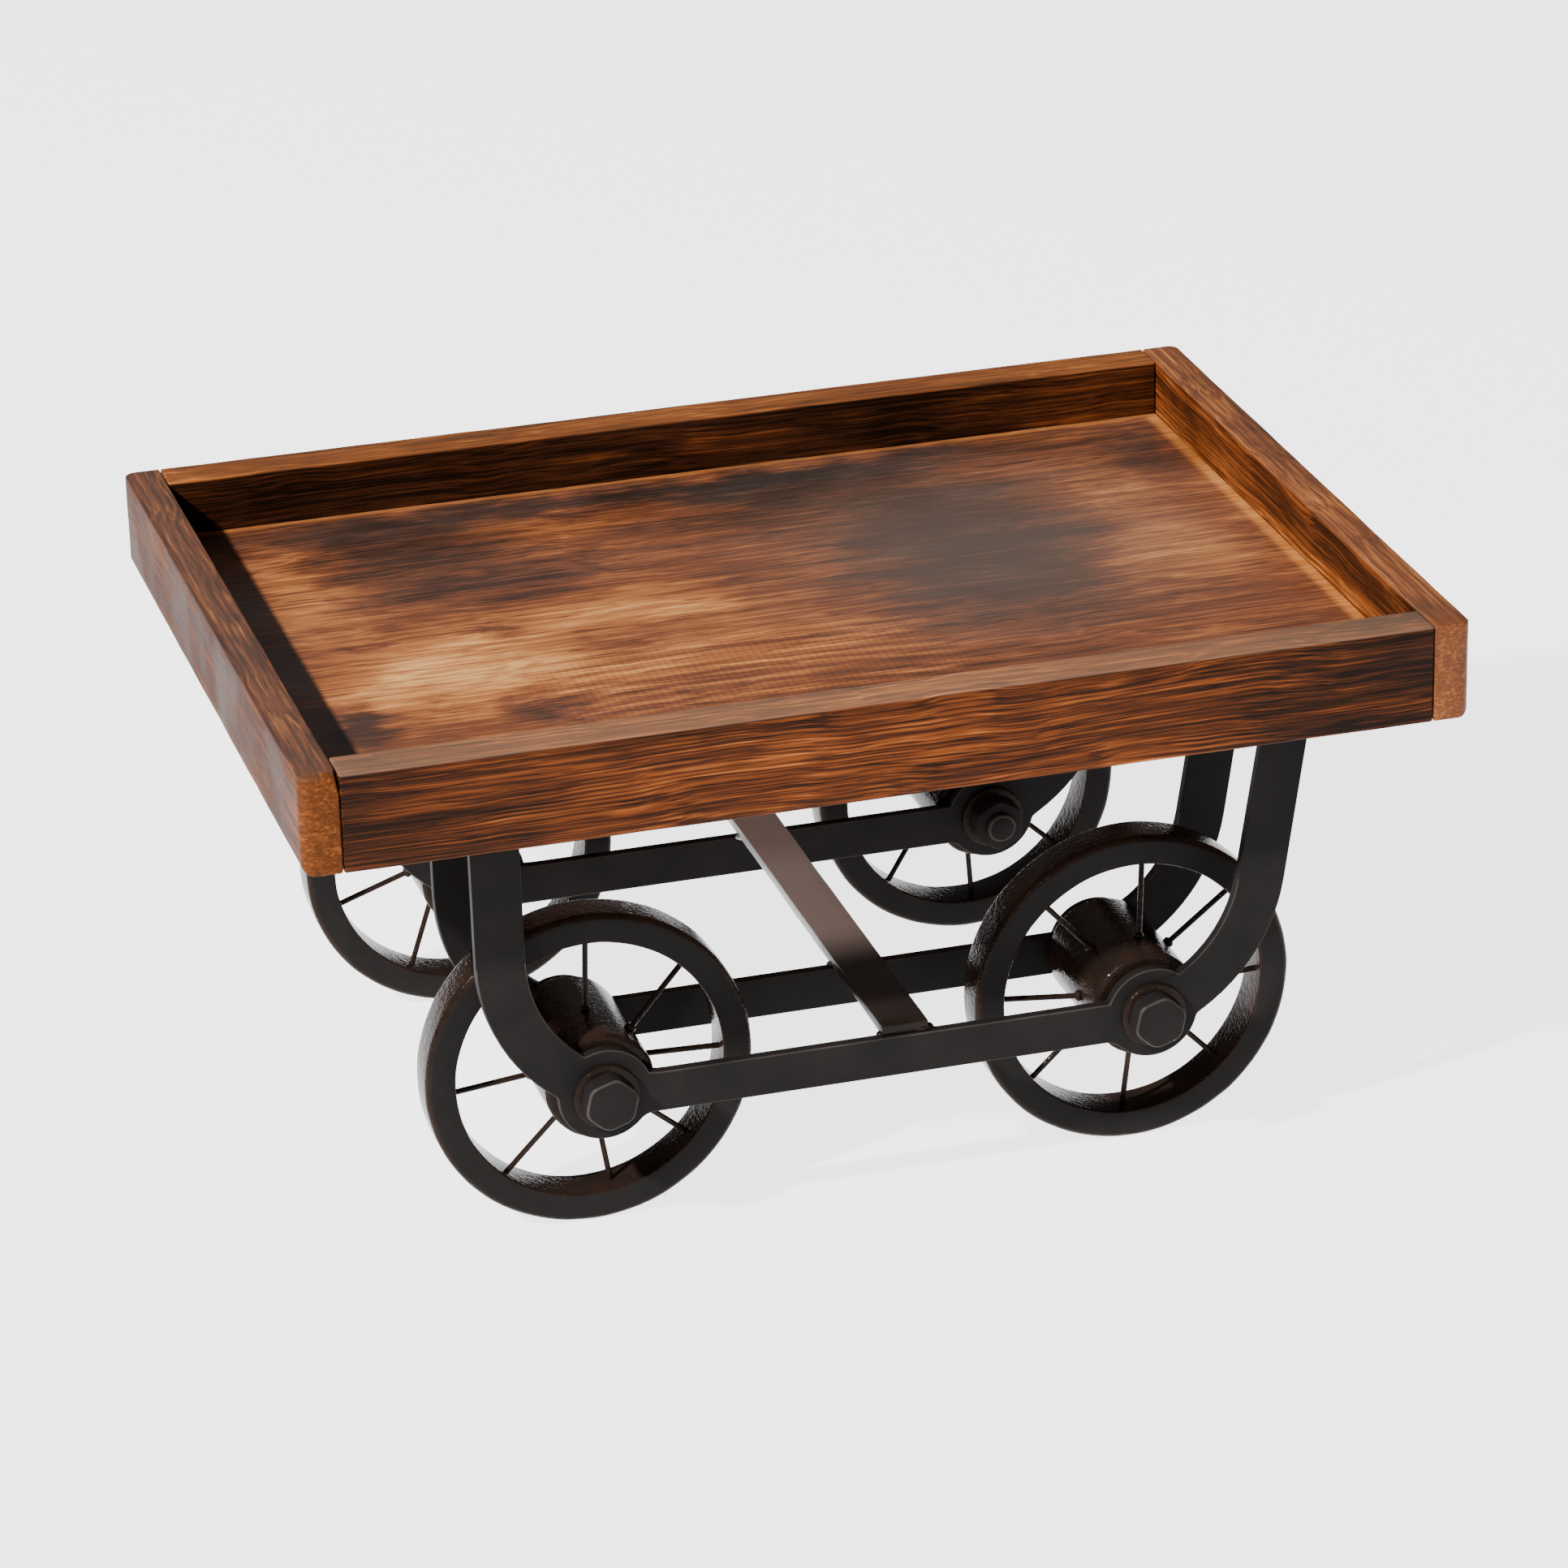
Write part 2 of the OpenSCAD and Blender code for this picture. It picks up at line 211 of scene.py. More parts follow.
def torched_wood(name, along, level, burn, fibre, sheen, place):
    """Mango wood, torched, brushed and lacquered: the fibres show as light and dark streaks, the
    torch leaves clouds from tan to near black, and the satin lacquer gives a soft sheen. The grain
    runs along x or y; level is the mean tone, burn and fibre the depth of clouds and streaks, and
    place(tree, coords, tone) gives the new tone, and colours that lie over it."""
    material, tree, surface = new_material(name)
    coords = add(tree, "TexCoord", {}).outputs["Object"]
    turned = coords
    if along == "y":
        turned = add(tree, "Mapping", {"Vector": coords, "Rotation": (0, 0, math.pi / 2)}).outputs[0]
    wave = stretched_noise(tree, turned, (60 * MM, 40 * MM, 40 * MM), 2)
    lifted = centred(tree, wave, WOOD_SWAY)
    parts = add(tree, "SeparateXYZ", {"Vector": turned})
    across, upright = (maths(tree, "ADD", parts.outputs[k], lifted) for k in (1, 2))
    swayed = add(tree, "CombineXYZ", {"X": parts.outputs[0], "Y": across, "Z": upright}).outputs[0]
    # Fibres 0.6 to 1 mm wide, pores half a millimetre: real ones are finer, and wouldn't show.
    fibres = stretched_noise(tree, swayed, (42 * MM, 1.0 * MM, 0.6 * MM), 3, 0.5)
    rings = stretched_noise(tree, swayed, (110 * MM, 5 * MM, 5 * MM), 3, 0.6, 0.4)
    pores = stretched_noise(tree, swayed, (15 * MM, 0.7 * MM, 0.45 * MM), 2, 0.5)
    clouds = stretched_noise(tree, coords, (45 * MM, 26 * MM, 26 * MM), 6, 0.6)
    tone = centred(tree, fibres, fibre)
    tone = maths(tree, "ADD", tone, centred(tree, rings, 0.5))
    tone = maths(tree, "ADD", tone, centred(tree, clouds, burn))
    tone = maths(tree, "SUBTRACT", tone, band(tree, pores, 0.56, 0.72, 0, 0.22))
    tone = maths(tree, "ADD", tone, level)
    tone, colour_over = place(tree, coords, tone)
    tone = maths(tree, "ADD", tone, 0.0, clamp=True)
    colour = ramp(tree, tone, TORCHED_STOPS)
    for share, over in colour_over:
        colour = mixed(tree, share, colour, over)
    raised = maths(tree, "MULTIPLY", fibres, 0.7)
    height = maths(tree, "ADD", raised, maths(tree, "MULTIPLY", pores, -0.3))
    bump = add(tree, "Bump", {"Height": height, "Strength": 0.35, "Distance": 0.25 * MM}).outputs[0]
    dull = maths(tree, "ADD", clouds, maths(tree, "MULTIPLY", fibres, 0.5))
    rough = band(tree, dull, 0.5, 1.0, 0.34, 0.55)
    tree.links.new(colour, surface.inputs["Base Color"])
    tree.links.new(bump, surface.inputs["Normal"])
    tree.links.new(rough, surface.inputs["Roughness"])
    surface.inputs["IOR"].default_value = 1.5
    surface.inputs["Specular IOR Level"].default_value = sheen
    return material


def top_edge(tree, coords, tone, share, colour, lighter):
    """The upper edge of a board, where the stain is sanded thin and greyed."""
    z = add(tree, "SeparateXYZ", {"Vector": coords}).outputs[2]
    top = band(tree, z, TRAY_HIGH - 0.9 * MM, TRAY_HIGH - 0.3 * MM)
    tone = maths(tree, "ADD", tone, maths(tree, "MULTIPLY", top, lighter))
    return tone, maths(tree, "MULTIPLY", top, share), linear(colour)


def front_places(tree, coords, tone):
    """The front board is darker towards its ends, most of all the right one."""
    x = add(tree, "SeparateXYZ", {"Vector": coords}).outputs[0]
    tone, top, grey = top_edge(tree, coords, tone, 0.36, "#7a6453", 0.17)
    right = band(tree, x, 50 * MM, 130 * MM, 0, -0.2)
    left = band(tree, x, -85 * MM, -135 * MM, 0, -0.14)
    ends = maths(tree, "ADD", right, left)
    return maths(tree, "ADD", tone, ends), [(top, grey)]


def back_places(tree, coords, tone):
    """The back board's inner face took the most of the torch."""
    x, y, z = add(tree, "SeparateXYZ", {"Vector": coords}).outputs
    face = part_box("back_board")[0].y
    inner = band(tree, y, face + 0.8 * MM, face + 0.2 * MM)
    low = band(tree, z, TRAY_HIGH - 0.4 * MM, TRAY_HIGH - 1.2 * MM)
    dark = maths(tree, "MULTIPLY", inner, low)
    right = band(tree, x, 60 * MM, 140 * MM, -0.28, -0.12)
    tone, top, grey = top_edge(tree, coords, tone, 0.25, "#6d4a30", 0.08)
    return maths(tree, "ADD", tone, maths(tree, "MULTIPLY", dark, right)), [(top, grey)]


END_GRAIN = linear("#54301a")


def end_grain(tree, y):
    """Where the front end of an end board shows its end grain, and a little round the corner."""
    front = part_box("front_board")[0].y
    return band(tree, y, front + 8 * MM, front + 1 * MM, 0, 0.55)


def left_places(tree, coords, tone):
    """The left end's outer face is darkened and greyed by a painted sheen, less so at its front end.
    """
    x, y, _ = add(tree, "SeparateXYZ", {"Vector": coords}).outputs
    outer_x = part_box("left_end_board")[0].x
    outer = band(tree, x, outer_x + 2.2 * MM, outer_x + 0.4 * MM)
    tone, top, grey = top_edge(tree, coords, tone, 0.6, "#473a35", 0.04)
    along = band(tree, y, -104 * MM, -84 * MM, 0.15, 0.65)
    # Painted sheen: a dark grey-brown mixed over the outer face stands in for the sheen of light on
    # it.
    painted_sheen_share = maths(tree, "MULTIPLY", outer, along)
    return tone, [(top, grey), (painted_sheen_share, linear("#271d1b")), (end_grain(tree, y), END_GRAIN)]


def right_places(tree, coords, tone):
    """The inner face is darkest in its middle, and paler along its foot."""
    x, y, z = add(tree, "SeparateXYZ", {"Vector": coords}).outputs
    foot = band(tree, z, FLOOR_HIGH.z + 6 * MM, FLOOR_HIGH.z + 1 * MM, 0, 0.16)
    inner = band(tree, x, FLOOR_HIGH.x + 1 * MM, FLOOR_HIGH.x + 0.3 * MM)
    under = band(tree, z, TRAY_HIGH - 0.3 * MM, TRAY_HIGH - 1.2 * MM)
    inside = maths(tree, "MULTIPLY", inner, under)
    drop = maths(tree, "MULTIPLY", maths(tree, "SUBTRACT", foot, 0.2), inside)
    tone, top, grey = top_edge(tree, coords, tone, 0.3, "#57453a", 0.02)
    return maths(tree, "ADD", tone, drop), [(top, grey), (end_grain(tree, y), END_GRAIN)]


ARCS_X, ARCS_Y = -22 * MM, -96 * MM
ARCS_STRETCH = 2.4
ARC_SPACING = 12 * MM
SAW_SPACING = 2.1 * MM


def figure(tree, x, y):
    """The nested arcs of flat-sawn wood near the front, crossed by faint marks of the saw."""
    across = maths(tree, "MULTIPLY", maths(tree, "SUBTRACT", y, ARCS_Y), ARCS_STRETCH)
    along = maths(tree, "SUBTRACT", x, ARCS_X)
    point = add(tree, "CombineXYZ", {"X": along, "Y": across}).outputs[0]
    away = add(tree, "VectorMath", {0: point}, operation="LENGTH").outputs["Value"]
    arcs = maths(tree, "SINE", maths(tree, "MULTIPLY", away, 2 * math.pi / ARC_SPACING))
    saw = maths(tree, "SINE", maths(tree, "MULTIPLY", x, 2 * math.pi / SAW_SPACING))
    faint = maths(tree, "MULTIPLY", saw, 0.022)
    lines = maths(tree, "ADD", maths(tree, "MULTIPLY", arcs, 0.08), faint)
    place = band(tree, y, -12 * MM, -34 * MM)
    place = maths(tree, "MULTIPLY", place, band(tree, x, 52 * MM, 24 * MM))
    place = maths(tree, "MULTIPLY", place, band(tree, x, -84 * MM, -58 * MM))
    return maths(tree, "MULTIPLY", lines, place)


# The oval of painted grey sheen on the floor: its middle and half lengths.
PAINTED_SHEEN_AT = (66 * MM, 20 * MM, 0)
PAINTED_SHEEN_SIZE = (60 * MM, 62 * MM, 1)


def floor_places(tree, coords, tone):
    """Torched clouds, a painted grey sheen strongest on the right, and pale wood at the back and
    right edges, which the flame didn't reach."""
    x, y, _ = add(tree, "SeparateXYZ", {"Vector": coords}).outputs
    ragged = stretched_noise(tree, coords, (24 * MM, 12 * MM, 12 * MM), 5, 0.6)
    shift = centred(tree, ragged, 34 * MM)
    moved = add(tree, "VectorMath", {0: coords, 1: shift}, operation="ADD").outputs[0]
    tone = maths(tree, "ADD", tone, maths(tree, "SUBTRACT", patches(tree, moved), 0.5))
    back = band(tree, y, FLOOR_HIGH.y - 4 * MM, FLOOR_HIGH.y - 1.5 * MM)
    right = band(tree, x, FLOOR_HIGH.x - 5 * MM, FLOOR_HIGH.x - 2 * MM)
    pale = maths(tree, "MAXIMUM", maths(tree, "MULTIPLY", back, 0.55), right)
    tone = maths(tree, "ADD", tone, maths(tree, "MULTIPLY", pale, 0.24))
    tone = maths(tree, "ADD", tone, figure(tree, x, y))
    # Painted sheen: grey mixed over the floor, at half strength inside the oval and a tenth of it
    # outside.
    away = distance_from(tree, moved, PAINTED_SHEEN_AT, PAINTED_SHEEN_SIZE)
    return tone, [
        (band(tree, away, 0.3, 1.5, 0.5, 0.1), linear("#54463e")),
        (maths(tree, "MULTIPLY", pale, 0.4), linear("#b06c2a")),
    ]


DUST = linear("#a59c92")
DUST_SPACING = 11 * MM
GRIT_SIZE = 0.9 * MM


def enamel(name, colours, roughness, lump, specks, specular, painted_sheen_band=None):
    """Black stoving enamel, brushed or dipped on iron: thick, a little lumpy, with a sheen that
    varies and a few specks of dust. lump gives the lumps' size and height, and the share of grit
    in them. painted_sheen_band gives two places along y, and the colour of a painted sheen that
    shows from the second one on."""
    material, tree, surface = new_material(name)
    lump_size, lump_height, grit_share = lump
    coords = add(tree, "TexCoord", {}).outputs["Object"]
    uneven = stretched_noise(tree, coords, (14 * MM,) * 3, 4, 0.6)
    colour = ramp(tree, uneven, [(0.3, colours[0]), (0.7, colours[1])])
    # Painted sheen: from the second place on, the colour is mixed towards a lighter grey.
    if painted_sheen_band:
        y = add(tree, "SeparateXYZ", {"Vector": coords}).outputs[1]
        colour = mixed(tree, band(tree, y, painted_sheen_band[0], painted_sheen_band[1]), colour, linear(painted_sheen_band[2]))
    cells = add(tree, "TexVoronoi", {"Vector": coords, "Scale": 1 / DUST_SPACING})
    chosen = add(tree, "SeparateColor", {"Color": cells.outputs["Color"]}).outputs[0]
    speck = maths(tree, "LESS_THAN", cells.outputs["Distance"], maths(tree, "MULTIPLY", chosen, 0.03))
    speck = maths(tree, "MULTIPLY", speck, maths(tree, "GREATER_THAN", chosen, 1 - specks))
    colour = mixed(tree, speck, colour, DUST)
    lumps = stretched_noise(tree, coords, (lump_size,) * 3, 3, 0.6)
    grit = stretched_noise(tree, coords, (GRIT_SIZE,) * 3, 2, 0.5)
    height = maths(tree, "ADD", lumps, maths(tree, "MULTIPLY", grit, grit_share))
    links = {"Height": height, "Strength": 1.0, "Distance": lump_height}
    bump = add(tree, "Bump", links).outputs[0]
    rough = band(tree, uneven, 0.3, 0.7, roughness[0], roughness[1])
    tree.links.new(colour, surface.inputs["Base Color"])
    tree.links.new(bump, surface.inputs["Normal"])
    tree.links.new(rough, surface.inputs["Roughness"])
    surface.inputs["IOR"].default_value = 1.5
    surface.inputs["Specular IOR Level"].default_value = specular
    return material


# ---- making and shaping meshes ----


def deselect():
    if bpy.context.mode != "OBJECT":
        bpy.ops.object.mode_set(mode="OBJECT")
    bpy.ops.object.select_all(action="DESELECT")


def activate(obj):
    deselect()
    obj.select_set(True)
    bpy.context.view_layer.objects.active = obj


def settle(name, scale=(1, 1, 1)):
    """Names and scales the object just made, and applies its place, turn and size to its mesh."""
    obj = bpy.context.object
    obj.name = obj.data.name = name
    obj.scale = scale
    bpy.ops.object.transform_apply(location=True, rotation=True, scale=True)
    return obj


def cube(name, low, high):
    deselect()
    bpy.ops.mesh.primitive_cube_add(size=1, location=(low + high) / 2)
    return settle(name, high - low)


def disc(name, centre, radius, depth, vertices=96, axis="y"):
    deselect()
    turn = {"y": (math.pi / 2, 0, 0), "z": (0, 0, 0)}[axis]
    bpy.ops.mesh.primitive_cylinder_add(
        vertices=vertices, radius=radius, depth=depth, location=centre, rotation=turn
    )
    return settle(name)


def edit(obj, kind="FACE", pick=None):
    """Goes into edit mode with the faces, edges or vertices selected for which pick is true."""
    activate(obj)
    bpy.ops.object.mode_set(mode="EDIT")
    bpy.ops.mesh.select_mode(type=kind)
    bpy.ops.mesh.select_all(action="SELECT" if pick is None else "DESELECT")
    if pick:
        mesh = bmesh.from_edit_mesh(obj.data)
        chosen = {"FACE": mesh.faces, "EDGE": mesh.edges, "VERT": mesh.verts}[kind]
        for element in [e for e in chosen if pick(e)]:
            element.select_set(True)
        mesh.select_flush_mode()
        bmesh.update_edit_mesh(obj.data)


def done():
    bpy.ops.object.mode_set(mode="OBJECT")


def middle(edge):
    return (edge.verts[0].co + edge.verts[1].co) / 2


def slice_at(obj, axis, places):
    """Cuts rings across the mesh, so that it can bend and wobble."""
    edit(obj)
    for place in places:
        bpy.ops.mesh.select_all(action="SELECT")
        bpy.ops.mesh.bisect(plane_co=axis * place, plane_no=axis)
    done()


def modify(obj, kind, **settings):
    activate(obj)
    modifier = obj.modifiers.new(kind.lower(), kind)
    for name, value in settings.items():
        setattr(modifier, name, value)
    bpy.ops.object.modifier_apply(modifier=modifier.name)


def set_order(obj):
    """Numbers vertices and faces by their place alone. A boolean numbers them differently from
    run to run, and merging and bevelling after it would then differ a little too."""
    mesh = obj.data
    places = sorted((tuple(v.co), v.index) for v in mesh.vertices)
    number = {index: k for k, (_, index) in enumerate(places)}
    faces = []
    for face in mesh.polygons:
        corners = [number[v] for v in face.vertices]
        first = corners.index(min(corners))
        faces.append(corners[first:] + corners[:first])
    mesh.clear_geometry()
    mesh.from_pydata([co for co, _ in places], [], sorted(faces))
    mesh.update()


def boolean(obj, other, operation):
    """Merges other into obj, or cuts it away, and joins the flat faces that this splits."""
    modify(obj, "BOOLEAN", operation=operation, object=other, solver="EXACT")
    bpy.data.objects.remove(other)
    set_order(obj)
    edit(obj)
    bpy.ops.mesh.remove_doubles(threshold=0.01 * MM)
    bpy.ops.mesh.select_all(action="SELECT")
    bpy.ops.mesh.dissolve_limited(angle_limit=math.radians(0.05))
    done()


def round_edges(obj, width, segments=2, angle=40):
    modify(
        obj, "BEVEL", width=width, segments=segments, limit_method="ANGLE",
        angle_limit=math.radians(angle), use_clamp_overlap=False, harden_normals=False,
    )


def wobble(obj, size, depth):
    """Small hand-made unevenness, inwards only, so that the piece doesn't grow."""
    texture = bpy.data.textures.new(obj.name + "_wobble", "CLOUDS")
    texture.noise_scale = size
    texture.noise_depth = 1
    modify(obj, "DISPLACE", texture=texture, texture_coords="LOCAL", strength=depth, mid_level=1.0)


def smooth(obj, angle=35):
    activate(obj)
    bpy.ops.object.shade_smooth_by_angle(angle=math.radians(angle))


def turn_out(obj):
    """Merges doubles, and points all faces outwards."""
    edit(obj)
    bpy.ops.mesh.remove_doubles(threshold=0.002 * MM)
    bpy.ops.mesh.select_all(action="SELECT")
    bpy.ops.mesh.normals_make_consistent(inside=False)
    done()


def join(objects):
    deselect()
    for obj in objects:
        obj.select_set(True)
    bpy.context.view_layer.objects.active = objects[0]
    bpy.ops.object.join()
    return objects[0]


def finish_piece(obj, body, materials, nodes):
    """Gives a finished piece its materials and its body, and hides the CAD nodes it stands for."""
    obj.data.materials.clear()
    for material in materials:
        obj.data.materials.append(material)
    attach(obj, body)
    if nodes:
        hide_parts(*nodes)
    return obj


def mark_edges(obj, top=1.0):
    """Gives the narrow faces between a piece's sides and its rims, below top, the last material."""
    vertices = obj.data.vertices
    for face in obj.data.polygons:
        if 0.2 < abs(face.normal.y) < 0.95 and all(vertices[v].co.z < top for v in face.vertices):
            face.material_index = len(obj.data.materials) - 1


def copied(obj, name, matrix):
    """A copy with its own mesh, moved by matrix, and turned right side out if that mirrors it."""
    twin = obj.copy()
    twin.data = obj.data.copy()
    twin.name = twin.data.name = name
    bpy.context.scene.collection.objects.link(twin)
    twin.data.transform(matrix)
    if matrix.determinant() < 0:
        twin.data.flip_normals()
    return twin


def steps(start, end, spacing):
    """Places between start and end, about spacing apart, without the two ends."""
    count = max(2, round((end - start) / spacing))
    return [start + (end - start) * k / count for k in range(1, count)]


# ---- tray ----

BOARD_EDGE = 0.7 * MM
END_CORNER = 3 * MM
CHIP_REACH = 3.2 * MM
CHIP_PUSH = (-0.5 * MM, 0.8 * MM, -0.9 * MM)


def make_board(node, name, along, material):
    """A sawn board: its arrises are rounded by sanding, and its faces are a little uneven."""
    low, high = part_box(node)
    obj = cube(name, low, high)
    if along == "y":
        outer = max((low.x, high.x), key=abs)
        edit(obj, "EDGE", lambda e: abs(middle(e).x - outer) < MM and middle(e).z < high.z - MM)
        bpy.ops.mesh.bevel(offset=END_CORNER, segments=6)
        done()
    round_edges(obj, BOARD_EDGE, 3)
    line = X_AXIS if along == "x" else Y_AXIS
    slice_at(obj, line, steps(low.dot(line), high.dot(line), 5 * MM))
    slice_at(obj, Z_AXIS, steps(low.z, high.z, 5 * MM))
    wobble(obj, 13 * MM, 0.22 * MM)
    smooth(obj)
    return finish_piece(obj, "cart", [material], [node])


def make_chip(obj, place):
    """Breaks a corner away."""
    edit(obj, "VERT", lambda v: (v.co - place).length < CHIP_REACH)
    bpy.ops.transform.translate(value=CHIP_PUSH)
    done()


def make_tray():
    """Four boards round a floor panel, each with its own torching, and one chipped corner."""
    front = torched_wood("torched_mango_front", "x", 0.32, 0.35, 1.25, 0.05, front_places)
    back = torched_wood("torched_mango_back", "x", 0.4, 0.5, 1.0, 0.1, back_places)
    left = torched_wood("torched_mango_left", "y", 0.4, 0.4, 1.4, 0.01, left_places)
    right = torched_wood("torched_mango_right", "y", 0.5, 0.4, 1.0, 0.1, right_places)
    floor = torched_wood("torched_mango_floor", "x", 0.49, 0.46, 0.72, 0.75, floor_places)
    make_board("front_board", "front_board_wood", "x", front)
    make_board("back_board", "back_board_wood", "x", back)
    left_board = make_board("left_end_board", "left_end_board_wood", "y", left)
    make_board("right_end_board", "right_end_board_wood", "y", right)
    make_board("floor_panel", "floor_panel_wood", "x", floor)
    corner = Vector((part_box("front_board")[0].x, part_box("front_board")[0].y, TRAY_HIGH))
    make_chip(left_board, corner)


# ---- straps ----

BAR_LOW, BAR_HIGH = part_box("front_outer_bar")
OUTER_FACE = BAR_LOW.y
STRAP_MIDDLE = OUTER_FACE + STRAP_T / 2
BAR_Z, BAR_TOP = BAR_LOW.z, BAR_HIGH.z
AXLE = AXLES["front_right_wheel"]
BEND_Z = BAR_TOP + BEND_R - LEG_W / 2
BEND_X = {
    "left": abs(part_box("front_outer_left_leg")[1].x),
    "right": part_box("front_outer_right_leg")[0].x,
}
LEG_TOP = TRAY_LOW - STRAP_T - TAB_BEND
STRAP_EDGE = 0.3 * MM
BAR_FILLET = 5 * MM
LEG_FILLET = 2.5 * MM
FILLET_DEPTH = 1.6 * MM
BAR_END = 6 * MM


def spin(count, angle, centre, axis):
    """Spins the selected section. The operator turns against the right-hand rule."""
    bpy.ops.mesh.spin(steps=count, angle=-angle, center=centre, axis=axis)


def make_leg(side):
    """The section of the strap is spun round the large bend, drawn up to the tray, and bent in."""
    sign = {"left": -1, "right": 1}[side]
    lean = LEANS[side]
    foot = Vector((sign * BEND_X[side], STRAP_MIDDLE, BEND_Z - BEND_R))
    deselect()
    bpy.ops.mesh.primitive_plane_add(size=1, location=foot, rotation=(0, math.pi / 2, 0))
    obj = settle(f"{side}_leg", (LEG_W, STRAP_T, 1))
    edit(obj)
    centre = (foot.x, STRAP_MIDDLE, BEND_Z)
    spin(20, math.pi / 2 - lean, centre, (0, -sign, 0))
    rise = LEG_TOP - (BEND_Z - BEND_R * math.sin(lean))
    move = (sign * rise * math.tan(lean), 0, rise)
    bpy.ops.mesh.extrude_region_move(TRANSFORM_OT_translate={"value": move})
    bpy.ops.transform.resize(value=(1, 1, 0), center_override=(0, 0, LEG_TOP))
    spin(6, math.pi / 2, (0, OUTER_FACE + STRAP_T + TAB_BEND, LEG_TOP), (-1, 0, 0))
    bpy.ops.mesh.extrude_region_move(TRANSFORM_OT_translate={"value": (0, TAB_L - TAB_BEND, 0)})
    bpy.ops.mesh.select_all(action="SELECT")
    bpy.ops.mesh.bisect(
        plane_co=(0, 0, BAR_Z), plane_no=(0, 0, 1), use_fill=True, clear_inner=True
    )
    done()
    turn_out(obj)
    return obj


def fillet(obj, first, second, centre, radius):
    """Fills the hollow corner between two points on the outline, up to an arc round centre."""
    chord = second - first
    inward = (first + second) / 2 - centre
    inward.normalize()
    block_middle = (first + second) / 2 + inward * FILLET_DEPTH / 2
    deselect()
    turn = math.atan2(-chord.z, chord.x)
    bpy.ops.mesh.primitive_cube_add(size=1, location=block_middle, rotation=(0, turn, 0))
    boolean(obj, settle("fillet_block", (chord.length, STRAP_T, FILLET_DEPTH)), "UNION")
    boolean(obj, disc("fillet_cutter", centre, radius, 2 * STRAP_T), "DIFFERENCE")


def make_frame():
    """One frame of the undercarriage: two legs, the bar between them, and an eye at each axle."""
    low = Vector((BAR_END - AXLE.x, OUTER_FACE, BAR_Z))
    high = Vector((AXLE.x - BAR_END, OUTER_FACE + STRAP_T, BAR_TOP))
    obj = cube("frame", low, high)
    for side, sign in (("left", -1), ("right", 1)):
        eye = Vector((sign * AXLE.x, STRAP_MIDDLE, AXLE.z))
        boolean(obj, make_leg(side), "UNION")
        boolean(obj, disc("eye", eye, EYE_R, STRAP_T), "UNION")
        drop = eye.z - BAR_Z + BAR_FILLET
        across = math.sqrt((EYE_R + BAR_FILLET) ** 2 - drop**2)
        centre = eye + Vector((-sign * across, 0, -drop))
        on_eye = eye + (centre - eye) * EYE_R / (EYE_R + BAR_FILLET)
        fillet(obj, Vector((centre.x, STRAP_MIDDLE, BAR_Z)), on_eye, centre, BAR_FILLET)
        bend = Vector((sign * BEND_X[side], STRAP_MIDDLE, BEND_Z))
        outer = BEND_R + LEG_W / 2
        span = (eye - bend).length
        a, b = outer + LEG_FILLET, EYE_R + LEG_FILLET
        cosine = (a * a + span * span - b * b) / (2 * a * span)
        swing = Matrix.Rotation(-sign * math.acos(cosine), 3, "Y")
        centre = bend + swing @ (eye - bend).normalized() * a
        on_leg = bend + (centre - bend) * outer / a
        on_eye = eye + (centre - eye) * EYE_R / b
        fillet(obj, on_leg, on_eye, centre, LEG_FILLET)
        boolean(obj, disc("bolt_hole", eye, BOLT_R + BOLT_FIT, 2 * STRAP_T, 48), "DIFFERENCE")
    round_edges(obj, STRAP_EDGE, 2, 50)
    smooth(obj, 20)
    return obj


def make_straps(materials, bar_material):
    """The frame is made once and copied to its four places, and the cross bar joins them."""
    outer = make_frame()
    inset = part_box("front_inner_bar")[0].y - OUTER_FACE
    flip = Matrix.Scale(-1, 4, Y_AXIS)
    places = {
        "front_inner": Matrix.Translation((0, inset, 0)),
        "rear_inner": flip @ Matrix.Translation((0, inset, 0)),
        "rear_outer": flip,
        "front_outer": Matrix.Identity(4),
    }
    for name, matrix in places.items():
        piece = copied(outer, name + "_frame", matrix)
        nodes = [f"{name}_{end}" for end in ("left_leg", "right_leg", "bar")]
        finish_piece(piece, "cart", materials, nodes)
        mark_edges(piece, LEG_TOP - TAB_BEND)
    bpy.data.objects.remove(outer)
    make_cross_bar(bar_material)


# Beads of weld at each crossing: distance from the cross bar's middle, and radius, in millimetres.
CROSSING_BEADS = [(-4.6, 2.2), (-1.2, 1.8), (2.4, 2.4), (5.0, 1.6)]
# The run of enamel at the front end: place from the bar's front right corner, and radius.
RUN_BEADS = [((-1.5, 1.6, 0.6), 2.6), ((0.8, 1.2, -0.4), 1.8)]
BEAD_SHAPE = (1.25, 0.8, 0.55)


